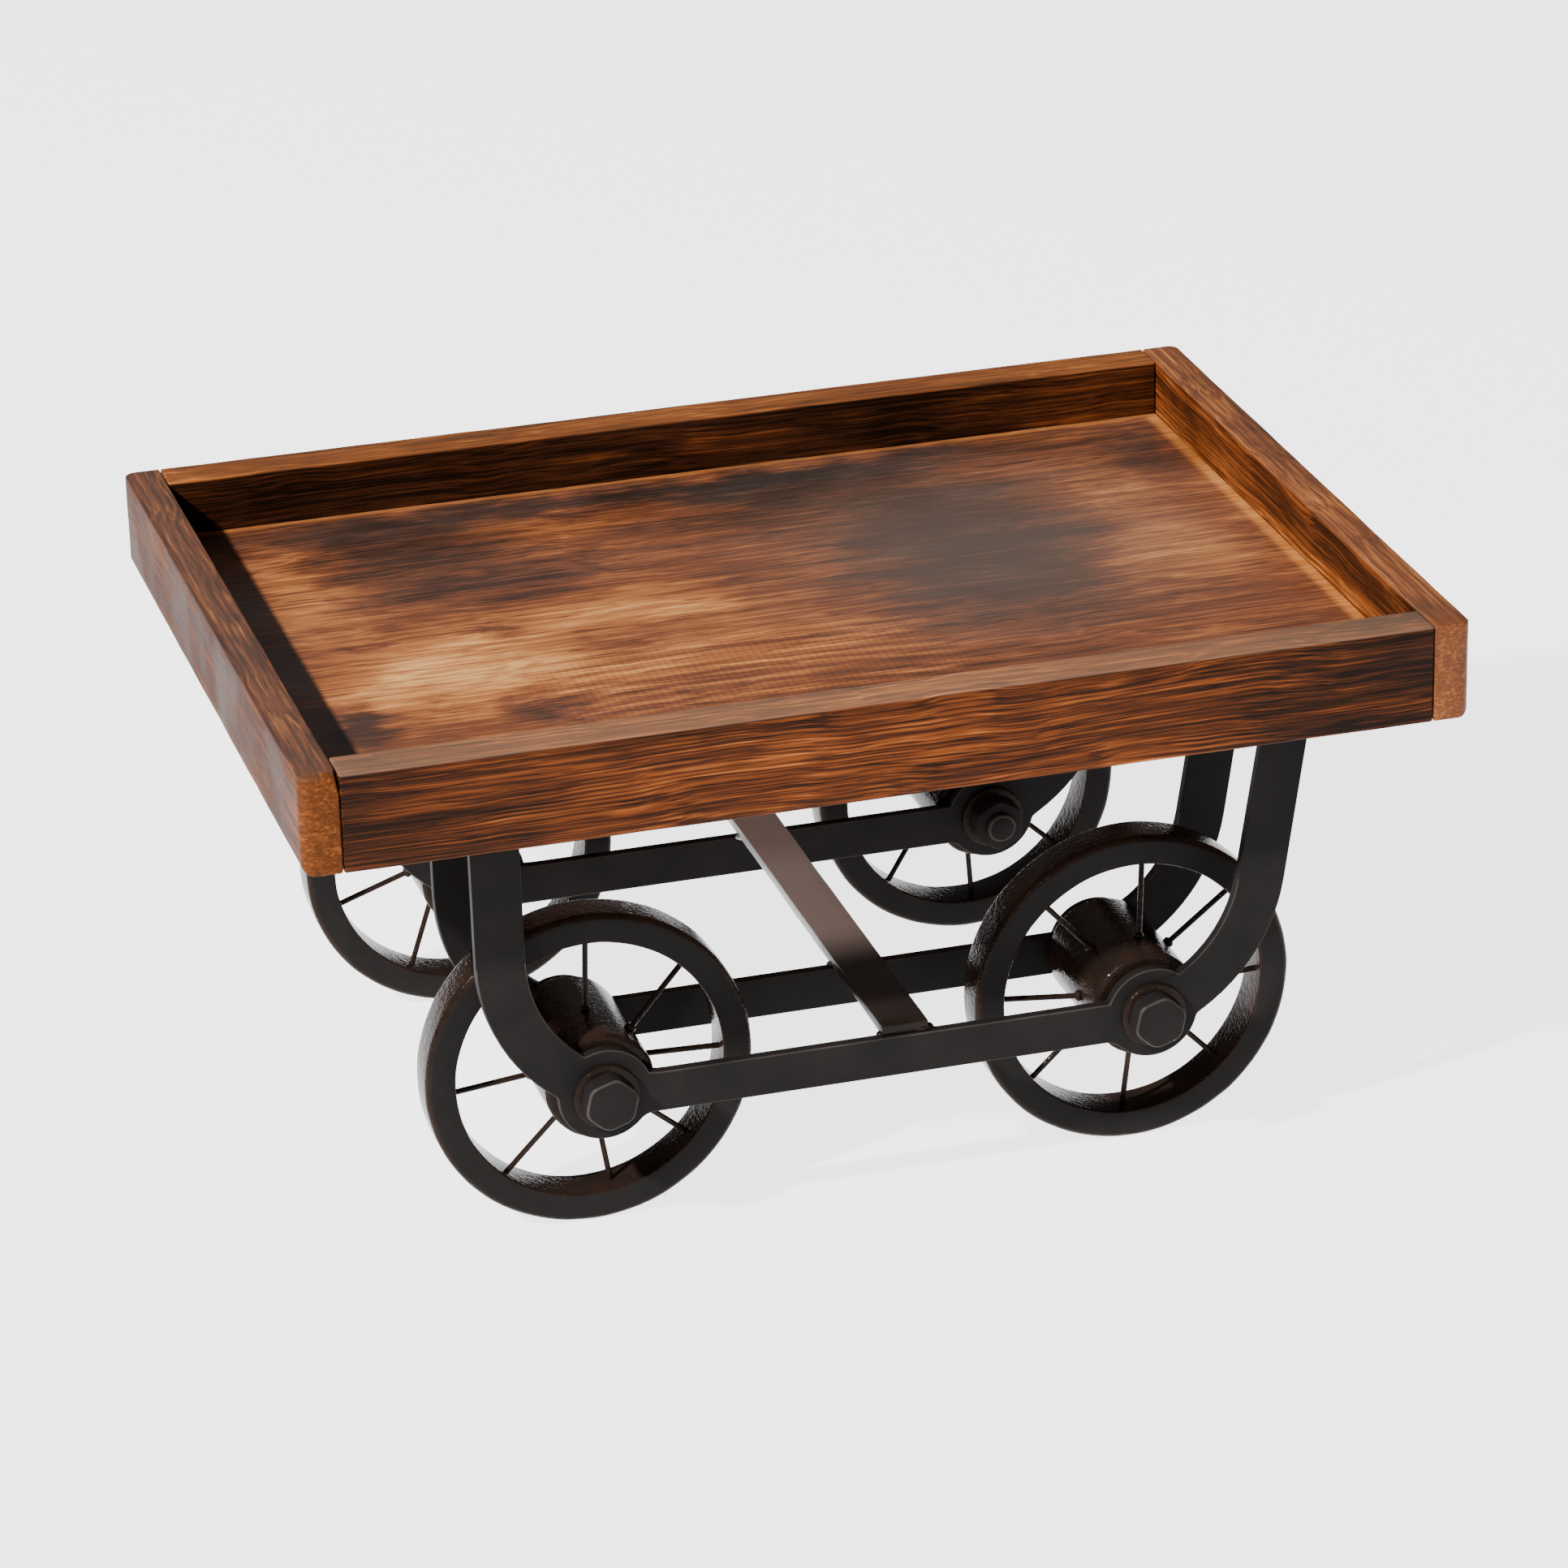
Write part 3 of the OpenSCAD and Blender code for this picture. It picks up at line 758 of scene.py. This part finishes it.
def make_cross_bar(material):
    """The flat bar across, welded to the four bars, with a run of enamel at its front end."""
    low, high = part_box("cross_bar")
    obj = cube("cross_bar_strap", low, high)
    round_edges(obj, 0.4 * MM, 2)
    slice_at(obj, Y_AXIS, steps(low.y, high.y, 6 * MM))
    slice_at(obj, X_AXIS, steps(low.x, high.x, 4 * MM))
    wobble(obj, 20 * MM, 0.3 * MM)
    smooth(obj)
    finish_piece(obj, "cart", [material], ["cross_bar"])
    middle_x = (low.x + high.x) / 2
    beads = []
    for name in ("front_outer", "front_inner", "rear_inner", "rear_outer"):
        bar_low, bar_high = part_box(name + "_bar")
        y = bar_low.y if bar_low.y > 0 else bar_high.y
        for shift, size in CROSSING_BEADS:
            beads.append((Vector((middle_x + shift * MM, y, bar_high.z)), size * MM))
    for shift, size in RUN_BEADS:
        beads.append((Vector((high.x, low.y, BAR_TOP)) + Vector(shift) * MM, size * MM))
    made = []
    for place, size in beads:
        deselect()
        bpy.ops.mesh.primitive_ico_sphere_add(subdivisions=3, radius=size, location=place)
        made.append(settle("bead", BEAD_SHAPE))
    welds = join(made)
    welds.name = welds.data.name = "cross_bar_welds"
    wobble(welds, 2.5 * MM, 0.5 * MM)
    smooth(welds, 80)
    finish_piece(welds, "cart", [material], [])


SCREW_R = 1.9 * MM
SCREW_L = 12 * MM
SLOT_L, SLOT_W = 4.4 * MM, 0.8 * MM
SLOT_DEPTH = 1 * MM
BRAD_SUNK = 0.8 * MM


def make_leg_screws(material):
    """Pan-head screws with a cross slot, one under each tab."""
    head_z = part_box("leg_screws")[0].z
    head_top = TRAY_LOW - STRAP_T
    screw = disc("screw", (0, 0, (head_z + head_top) / 2), SCREW_HEAD_R, head_top - head_z, 40, "z")
    edit(screw, "FACE", lambda f: f.normal.z < -0.9)
    bpy.ops.mesh.bevel(offset=1.2 * MM, segments=4)
    done()
    face = Vector((0, 0, head_z))
    for length, width in ((SLOT_L, SLOT_W), (SLOT_W, SLOT_L)):
        half = Vector((length / 2, width / 2, SLOT_DEPTH))
        boolean(screw, cube("slot", face - half, face + half), "DIFFERENCE")
    shank = disc("shank", (0, 0, TRAY_LOW), SCREW_R, SCREW_L, 24, "z")
    screw = join([screw, shank])
    smooth(screw, 40)
    centres = screw_places()
    made = [copied(screw, f"screw_{k}", Matrix.Translation(c)) for k, c in enumerate(centres)]
    bpy.data.objects.remove(screw)
    screws = join(made)
    screws.name = screws.data.name = "leg_pan_screws"
    finish_piece(screws, "cart", [material], ["leg_screws"])


def screw_places():
    """The middles of the eight screws, found as the separate clusters of their node's vertices."""
    found = []
    for vertex in frame["nodes"]["leg_screws"].data.vertices:
        for cluster in found:
            if (cluster[0] - vertex.co).xy.length < 3 * SCREW_HEAD_R:
                cluster.append(vertex.co)
                break
        else:
            found.append([vertex.co])
    places = []
    for cluster in found:
        xs, ys = [c.x for c in cluster], [c.y for c in cluster]
        places.append(Vector(((min(xs) + max(xs)) / 2, (min(ys) + max(ys)) / 2, 0)))
    return places


def make_brads(material):
    """Brads, punched below the surface, with their holes filled over."""
    for node in ("corner_brads", "floor_brads"):
        obj = copied(frame["nodes"][node], node + "_punched", Matrix.Identity(4))
        for key in list(obj.keys()):
            del obj[key]
        obj.parent = None
        turn_out(obj)
        low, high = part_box(node)
        edit(obj, "VERT")
        for axis, start, end in ((X_AXIS, low.x, high.x), (Y_AXIS, low.y, high.y)):
            for place, normal in ((start + BRAD_SUNK, -axis), (end - BRAD_SUNK, axis)):
                bpy.ops.mesh.select_all(action="SELECT")
                bpy.ops.mesh.bisect(
                    plane_co=axis * place, plane_no=normal, use_fill=True, clear_outer=True
                )
        done()
        smooth(obj, 40)
        finish_piece(obj, "cart", [material], [node])


# ---- wheels: modelled round the Y axis, with the hub's middle at the origin and -Y outwards ----

WHEEL_R = AXLE.z
RIM_LOW, RIM_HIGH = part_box("front_right_rim")
HUB_LOW, HUB_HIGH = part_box("front_right_hub")
RIM_IN = 8 * MM
RIBS = 3
GROOVE_DEEP = 0.8 * MM
CHANNEL_DEEP = 1.8 * MM
CHANNEL_EDGE = 0.2 * MM
SHIM_T = 1 * MM
WHEEL_TURN = 1.1


def spun_section(name, low, high, cuts, shape, corners):
    """A ring: a section from low to high, in (y, radius), with cuts across it at the given places,
    shaped, its corners rounded, and then spun round the Y axis."""
    deselect()
    middle_y, middle_r = (low[0] + high[0]) / 2, (low[1] + high[1]) / 2
    bpy.ops.mesh.primitive_plane_add(
        size=1, location=(0, middle_y, middle_r), rotation=(0, math.pi / 2, 0)
    )
    obj = settle(name, (high[1] - low[1], high[0] - low[0], 1))
    slice_at(obj, Y_AXIS, cuts)
    edit(obj, "VERT")
    bpy.ops.mesh.dissolve_limited(angle_limit=0.001, use_dissolve_boundaries=False)
    done()
    for pick, move in shape:
        edit(obj, "VERT", pick)
        bpy.ops.transform.translate(value=move)
        done()
    for pick, radius, segments in corners:
        edit(obj, "VERT", pick)
        bpy.ops.mesh.bevel(offset=radius, segments=segments, affect="VERTICES")
        done()
    edit(obj)
    bpy.ops.mesh.delete(type="ONLY_FACE")
    bpy.ops.mesh.select_all(action="SELECT")
    bpy.ops.mesh.spin(steps=144, angle=2 * math.pi, center=(0, 0, 0), axis=(0, 1, 0))
    done()
    turn_out(obj)
    return obj


def near(value, target, within=0.05 * MM):
    return abs(value - target) < within


def at(vertex, places):
    """Whether a vertex of a section lies at one of these places across the wheel."""
    return any(near(vertex.co.y, place) for place in places)


def make_rim():
    """A rim with three ribs on its tread, flat sides and a channel round its inside."""
    y0, y1 = RIM_LOW.y - AXLE.y, RIM_HIGH.y - AXLE.y
    width = y1 - y0
    rib = width / (2 * RIBS)
    grooves = [y0 + rib * k for k in (1.5, 1.75, 2.25, 2.5, 3.5, 3.75, 4.25, 4.5)]
    groove_floor = [grooves[k] for k in (1, 2, 5, 6)]
    channel = [y0 + 2 * MM, y0 + 3.4 * MM, y1 - 3.4 * MM, y1 - 2 * MM]
    channel_floor, channel_edge = channel[1:3], [channel[0], channel[3]]
    inner_r = WHEEL_R - RIM_IN
    sides = [y0, y1]
    shape = [
        (lambda v: near(v.co.z, WHEEL_R) and at(v, groove_floor), (0, 0, -GROOVE_DEEP)),
        (lambda v: near(v.co.z, inner_r) and at(v, channel_floor), (0, 0, CHANNEL_DEEP)),
        (lambda v: near(v.co.z, inner_r) and at(v, channel_edge), (0, 0, CHANNEL_EDGE)),
    ]
    corners = [
        (lambda v: v.co.z > WHEEL_R - 0.1 * MM and at(v, sides), 1.9 * MM, 6),
        (lambda v: near(v.co.z, inner_r) and at(v, sides), 0.7 * MM, 3),
        (lambda v: v.co.z > WHEEL_R - 0.9 * MM and at(v, grooves), 0.22 * MM, 2),
        (lambda v: v.co.z < inner_r + 2 * MM and at(v, channel_floor), 0.6 * MM, 3),
    ]
    low, high = (y0, inner_r), (y1, WHEEL_R)
    obj = spun_section("rim", low, high, sorted(grooves + channel), shape, corners)
    wobble(obj, 9 * MM, 0.25 * MM)
    smooth(obj, 42)
    return obj


def make_hub():
    """A drum with rounded ends and a bore, thick with enamel."""
    y0, y1 = HUB_LOW.y - AXLE.y, HUB_HIGH.y - AXLE.y
    radius = (HUB_HIGH.x - HUB_LOW.x) / 2
    low, high = (y0, BOLT_R + 0.06 * MM), (y1, radius)
    corners = [(lambda v: near(v.co.z, radius) and at(v, (y0, y1)), 1.6 * MM, 5)]
    obj = spun_section("hub", low, high, steps(y0, y1, 2.4 * MM), [], corners)
    wobble(obj, 6 * MM, 0.55 * MM)
    smooth(obj, 50)
    return obj


def make_bolt():
    """A hexagon bolt whose head is rounded by enamel, and a shank with a rounded end."""
    low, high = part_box("front_right_axle_bolt")
    y0, y1 = low.y - AXLE.y, high.y - AXLE.y
    head_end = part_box("front_right_washers")[0].y - AXLE.y
    head = disc("bolt", (0, (y0 + head_end) / 2, 0), HEX_R, head_end - y0, 6)
    head.data.transform(Matrix.Rotation(HEAD_TURN, 4, "Y"))
    edit(head, "EDGE", lambda e: abs(e.verts[0].co.y - e.verts[1].co.y) > MM)
    bpy.ops.mesh.bevel(offset=2.0 * MM, segments=4)
    done()
    edit(head, "FACE", lambda f: f.normal.y < -0.9)
    bpy.ops.mesh.bevel(offset=0.9 * MM, segments=4)
    done()
    shank = disc("shank", (0, (head_end + y1) / 2, 0), BOLT_R, y1 - head_end, 40)
    edit(shank, "FACE", lambda f: f.normal.y > 0.9)
    bpy.ops.mesh.bevel(offset=0.7 * MM, segments=2)
    done()
    obj = join([head, shank])
    smooth(obj, 40)
    return obj


def make_nut():
    """A hexagon nut, its corners and both faces rounded by enamel."""
    low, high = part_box("front_right_nut")
    y0, y1 = low.y - AXLE.y, high.y - AXLE.y
    obj = disc("nut", (0, (y0 + y1) / 2, 0), HEX_R, y1 - y0, 6)
    edit(obj, "EDGE", lambda e: abs(e.verts[0].co.y - e.verts[1].co.y) > MM)
    bpy.ops.mesh.bevel(offset=1.2 * MM, segments=3)
    done()
    edit(obj, "FACE", lambda f: abs(f.normal.y) > 0.9)
    bpy.ops.mesh.bevel(offset=0.6 * MM, segments=2)
    done()
    boolean(obj, disc("bore", (0, (y0 + y1) / 2, 0), BOLT_R, 4 * (y1 - y0), 40), "DIFFERENCE")
    smooth(obj, 35)
    return obj


def make_washers():
    """Two under head and nut, and two thin ones beside the hub."""
    low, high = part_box("front_right_washers")
    y0, y1 = low.y - AXLE.y, high.y - AXLE.y
    inner_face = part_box("front_inner_bar")[0].y - AXLE.y
    outer_face = OUTER_FACE + STRAP_T - AXLE.y
    rings = [
        (y0, OUTER_FACE - AXLE.y), (inner_face + STRAP_T, y1),
        (outer_face, outer_face + SHIM_T), (inner_face - SHIM_T, inner_face),
    ]
    corners = [(lambda v: near(v.co.z, WASHER_R), 0.35 * MM, 3)]
    made = []
    for start, end in rings:
        inside, outside = (start, BOLT_R + BOLT_FIT), (end, WASHER_R)
        made.append(spun_section("washer", inside, outside, [], [], corners))
    obj = join(made)
    smooth(obj, 40)
    return obj


WIRE_GAP = math.radians(9)
INTO_HUB, INTO_RIM = 0.03, 0.005
RIM_BEAD_R, HUB_BEAD_R = 1.35 * MM, 1.5 * MM


def spoke_ends(node, axle):
    """The inner and outer end of each wire of a CAD node, as offsets from the axle's middle."""
    points = [v.co - axle for v in frame["nodes"][node].data.vertices]
    points.sort(key=lambda p: math.atan2(p.z, p.x))
    wires = [[points[0]]]
    for point in points[1:]:
        last = wires[-1][-1]
        if math.atan2(point.z, point.x) - math.atan2(last.z, last.x) > WIRE_GAP:
            wires.append([])
        wires[-1].append(point)
    first, last = wires[0][0], wires[-1][-1]
    wrap = math.atan2(first.z, first.x) - math.atan2(last.z, last.x) + 2 * math.pi
    if wrap < WIRE_GAP:
        wires[0] += wires.pop()
    ends = []
    for wire in wires:
        radii = [math.hypot(p.x, p.z) for p in wire]
        inner = [p for p, r in zip(wire, radii) if r < min(radii) + MM]
        outer = [p for p, r in zip(wire, radii) if r > max(radii) - MM]
        ends.append((sum(inner, Vector()) / len(inner), sum(outer, Vector()) / len(outer)))
    return ends


def make_spokes(wheel):
    """Straight wires, enamelled with the wheel, each fixed to the rim and the hub with a bead of
    weld. No two neighbouring beads are the same size."""
    axle = AXLES[wheel + "_wheel"]
    made = []
    for k, (inner, outer) in enumerate(spoke_ends(wheel + "_spokes", axle)):
        run = outer - inner
        start, end = inner - run * INTO_HUB, outer + run * INTO_RIM
        turn = run.to_track_quat("Z", "Y").to_euler()
        deselect()
        bpy.ops.mesh.primitive_cylinder_add(
            vertices=12, radius=SPOKE_R, depth=(end - start).length,
            location=axle + (start + end) / 2, rotation=turn,
        )
        made.append(settle("wire"))
        growth = 1 + 0.15 * math.sin(5 * k)
        for place, radius in ((outer - run * 0.01, RIM_BEAD_R), (inner + run * 0.01, HUB_BEAD_R)):
            deselect()
            bpy.ops.mesh.primitive_uv_sphere_add(
                segments=16, ring_count=10, radius=radius * growth,
                location=axle + place, rotation=turn,
            )
            made.append(settle("bead", (1, 1, 0.75)))
    obj = join(made)
    obj.name = obj.data.name = wheel + "_wires"
    smooth(obj, 60)
    return obj


def mark_sides(rim):
    """Gives a rim's flat sides the second material."""
    for face in rim.data.polygons:
        if abs(face.normal.y) > 0.97:
            face.material_index = 1


def make_wheels(gloss, satin, worn):
    """Each part is modelled once and copied to the four wheels. Rims and hubs are turned by a
    different angle on each, so that their unevenness isn't the same."""
    parts = {
        "rim": make_rim(), "hub": make_hub(), "axle_bolt": make_bolt(), "nut": make_nut(),
        "washers": make_washers(),
    }
    for k, wheel in enumerate(("front_left", "front_right", "rear_left", "rear_right")):
        axle = AXLES[wheel + "_wheel"]
        place = Matrix.Translation(axle)
        if axle.y > 0:
            place = place @ Matrix.Scale(-1, 4, Y_AXIS)
        for part, model in parts.items():
            turns = part in ("rim", "hub")
            turn = Matrix.Rotation(k * WHEEL_TURN, 4, "Y") if turns else Matrix.Identity(4)
            piece = copied(model, f"{wheel}_{part}_piece", place @ turn)
            body = wheel + "_wheel" if turns else "cart"
            main = gloss if turns or part == "washers" else satin
            finish_piece(piece, body, [main, satin, worn], [f"{wheel}_{part}"])
            if part == "axle_bolt":
                mark_edges(piece)
            if part == "rim":
                mark_sides(piece)
        wires = make_spokes(wheel)
        finish_piece(wires, wheel + "_wheel", [gloss], [wheel + "_spokes"])
    for model in parts.values():
        bpy.data.objects.remove(model)


# ---- floor and light ----


# Lights: name, direction from the tray, distance and diameter in metres, and power in watts.
LIGHTS = [
    ("key", (-0.66, -0.34, 0.64), 4.0, 0.22, 540),
    ("fill", (-0.45, -0.8, 0.42), 2.5, 0.14, 12),
]
FLOOR_GLOW = 3.0
SKY_STRENGTH = 0.18


def make_stage():
    """A panel of opal acrylic, lit from below and matt, gives a plain pale floor with hardly any
    cast shadow. The key light is at the upper left, and a weak one at the front left fills in."""
    deselect()
    bpy.ops.mesh.primitive_plane_add(size=12, location=(0, 0, 0))
    floor = settle("studio_floor")
    material, tree, surface = new_material("backlit_opal_acrylic")
    surface.inputs["Base Color"].default_value = linear("#9a9a9a")
    surface.inputs["Roughness"].default_value = 0.9
    surface.inputs["Emission Color"].default_value = linear("#ffffff")
    surface.inputs["Emission Strength"].default_value = FLOOR_GLOW
    floor.data.materials.append(material)
    world = bpy.data.worlds.new("studio")
    world.use_nodes = True
    sky = world.node_tree.nodes["Background"]
    sky.inputs["Color"].default_value = linear("#f2f4f8")
    sky.inputs["Strength"].default_value = SKY_STRENGTH
    bpy.context.scene.world = world
    middle_of_tray = Vector((0, 0, TRAY_LOW))
    for name, toward, distance, size, power in LIGHTS:
        data = bpy.data.lights.new(name, "AREA")
        data.shape, data.size, data.energy = "DISK", size, power
        light = bpy.data.objects.new(name, data)
        bpy.context.scene.collection.objects.link(light)
        away = Vector(toward).normalized()
        light.location = middle_of_tray + away * distance
        light.rotation_mode = "QUATERNION"
        light.rotation_quaternion = (-away).to_track_quat("-Z", "Y")


make_camera()
# Satin enamel, brushed on the straps and bolts: near black, with a low, even sheen.
satin_enamel = enamel(
    "satin_black_enamel", ("#141212", "#1a1817"), (0.42, 0.52), (5 * MM, 0.06 * MM, 0.1), 0.3, 0.03
)
# Gloss enamel, into which the wheels were dipped: brown-black, wet-looking and lumpy.
gloss_enamel = enamel(
    "gloss_black_enamel", ("#120d0a", "#221712"), (0.08, 0.2), (1.8 * MM, 0.2 * MM, 0.4), 0.6, 0.05
)
# Enamel worn thin on the narrow edges of straps and bolt heads: greyer than the rest.
worn_enamel = enamel(
    "worn_black_enamel", ("#231f1d", "#34302d"), (0.35, 0.5), (2 * MM, 0.05 * MM, 0.1), 0.3, 0.04
)
# A thin coat of brown-black enamel on the cross bar, with a painted grey sheen over all but its front
# end.
bar_enamel = enamel(
    "thin_brown_black_enamel", ("#0d0908", "#1a1310"), (0.25, 0.4), (6 * MM, 0.12 * MM, 0.15),
    0.3, 0.08, (-52 * MM, -26 * MM, "#a3a4a5"),
)
make_tray()
make_straps([satin_enamel, worn_enamel], bar_enamel)
make_leg_screws(satin_enamel)
make_brads(satin_enamel)
make_wheels(gloss_enamel, satin_enamel, worn_enamel)
make_stage()
